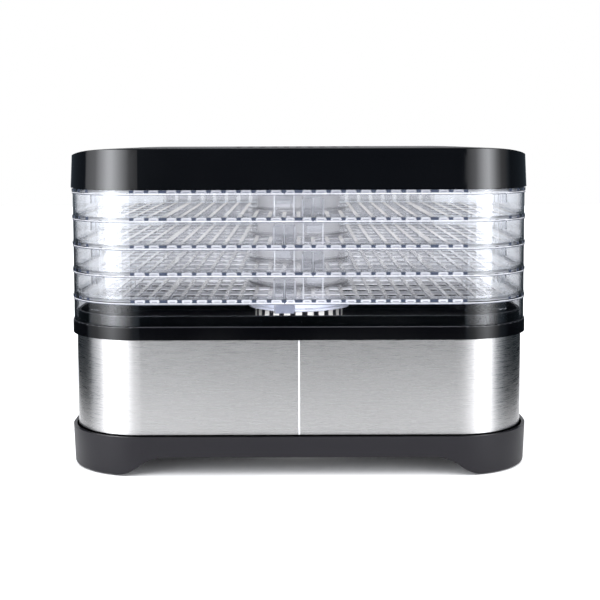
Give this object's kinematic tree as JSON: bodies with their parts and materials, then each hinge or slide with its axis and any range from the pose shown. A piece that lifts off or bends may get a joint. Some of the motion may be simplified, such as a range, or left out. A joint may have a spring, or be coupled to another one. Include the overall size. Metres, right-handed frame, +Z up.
{
  "type": "food dehydrator",
  "caption": "Countertop food dehydrator with a steel-wrapped fan base, stacked clear lattice trays and a crowned black lid.",
  "frame": {"origin": "on the resting plane under the middle of the base", "axes": "+X along the width, -Y towards the plain back with the upright seam, +Y towards the controls, +Z up"},
  "size_m": [0.4, 0.254, 0.2756],
  "materials": {
    "black_gloss": "polished black moulding",
    "clear_plastic": "clear polished plastic",
    "brushed_steel": "horizontal brushed grain",
    "seam_metal": "bright",
    "charcoal_plastic": "fine matt",
    "foot_rubber": "matt",
    "turret_plastic": "satin",
    "dark_plastic": "matt",
    "zinc_screw": "zinc plated",
    "mica": "matt",
    "resistance_wire": "oxidised",
    "galvanised_metal": "galvanised",
    "fan_plastic": "matt",
    "circuit_board": "solder mask",
    "component_plastic": "matt",
    "copper_winding": "enamelled",
    "ceramic_white": "gloss",
    "lens_dark": "polished",
    "button_silver": "satin metallic"
  },
  "bodies": {
    "base": {"deck": "black_gloss", "outlet_turret": "turret_plastic", "steel_wrap": "brushed_steel", "seam_strip": "seam_metal", "base_pan": "charcoal_plastic", "rubber_feet": "foot_rubber", "intake_grille": "dark_plastic", "pan_screws": "zinc_screw", "air_duct": "dark_plastic", "duct_screws": "zinc_screw", "heater_frame": "mica", "heater_coil": "resistance_wire", "thermal_fuse": "ceramic_white", "temperature_sensor": "dark_plastic", "motor_bracket": "galvanised_metal", "motor": "galvanised_metal", "motor_screws": "zinc_screw", "power_board": "circuit_board", "relay": "component_plastic", "capacitor": "dark_plastic", "transformer": "copper_winding", "board_screws": "zinc_screw", "terminal_block": "ceramic_white", "cable_gland": "dark_plastic", "control_bezel": "black_gloss", "display_lens": "lens_dark", "display_module": "dark_plastic", "control_board": "circuit_board", "control_screws": "zinc_screw", "tact_switches": "dark_plastic"},
    "lid": {"lid": "black_gloss"},
    "rotor": {"motor_shaft": "zinc_screw", "fan_impeller": "fan_plastic"},
    "button_power": {"button_power": "button_silver"},
    "button_start": {"button_start": "button_silver"},
    "button_mode": {"button_mode": "button_silver"},
    "button_up": {"button_up": "button_silver"},
    "button_down": {"button_down": "button_silver"},
    "tray_1": {"tray_1": "clear_plastic", "tray_1_floor": "clear_plastic", "tray_1_hub": "clear_plastic"},
    "tray_2": {"tray_2": "clear_plastic", "tray_2_floor": "clear_plastic", "tray_2_hub": "clear_plastic"},
    "tray_3": {"tray_3": "clear_plastic", "tray_3_floor": "clear_plastic", "tray_3_hub": "clear_plastic"},
    "tray_4": {"tray_4": "clear_plastic", "tray_4_floor": "clear_plastic", "tray_4_hub": "clear_plastic"},
    "tray_5": {"tray_5": "clear_plastic", "tray_5_floor": "clear_plastic", "tray_5_hub": "clear_plastic"}
  },
  "joints": [
    {"name": "tray_1_lift", "type": "slide", "parent": "base", "child": "tray_1", "axis": [0, 0, 1], "range_m": [0, 0.05]},
    {"name": "tray_2_lift", "type": "slide", "parent": "tray_1", "child": "tray_2", "axis": [0, 0, 1], "range_m": [0, 0.05]},
    {"name": "tray_3_lift", "type": "slide", "parent": "tray_2", "child": "tray_3", "axis": [0, 0, 1], "range_m": [0, 0.05]},
    {"name": "tray_4_lift", "type": "slide", "parent": "tray_3", "child": "tray_4", "axis": [0, 0, 1], "range_m": [0, 0.05]},
    {"name": "tray_5_lift", "type": "slide", "parent": "tray_4", "child": "tray_5", "axis": [0, 0, 1], "range_m": [0, 0.05]},
    {"name": "lid_lift", "type": "slide", "parent": "tray_5", "child": "lid", "axis": [0, 0, 1], "range_m": [0, 0.06]},
    {"name": "fan_spin", "type": "hinge", "parent": "base", "child": "rotor", "pos_m": [0, 0, 0.06], "axis": [0, 0, 1], "continuous": true},
    {"name": "button_power_press", "type": "slide", "parent": "base", "child": "button_power", "axis": [0, -1, 0], "range_m": [0, 0.001], "stiffness_N_per_m": 800, "springref_m": -0.0008},
    {"name": "button_start_press", "type": "slide", "parent": "base", "child": "button_start", "axis": [0, -1, 0], "range_m": [0, 0.001], "stiffness_N_per_m": 800, "springref_m": -0.0008},
    {"name": "button_mode_press", "type": "slide", "parent": "base", "child": "button_mode", "axis": [0, -1, 0], "range_m": [0, 0.001], "stiffness_N_per_m": 800, "springref_m": -0.0008},
    {"name": "button_up_press", "type": "slide", "parent": "base", "child": "button_up", "axis": [0, -1, 0], "range_m": [0, 0.001], "stiffness_N_per_m": 800, "springref_m": -0.0008},
    {"name": "button_down_press", "type": "slide", "parent": "base", "child": "button_down", "axis": [0, -1, 0], "range_m": [0, 0.001], "stiffness_N_per_m": 800, "springref_m": -0.0008}
  ]
}
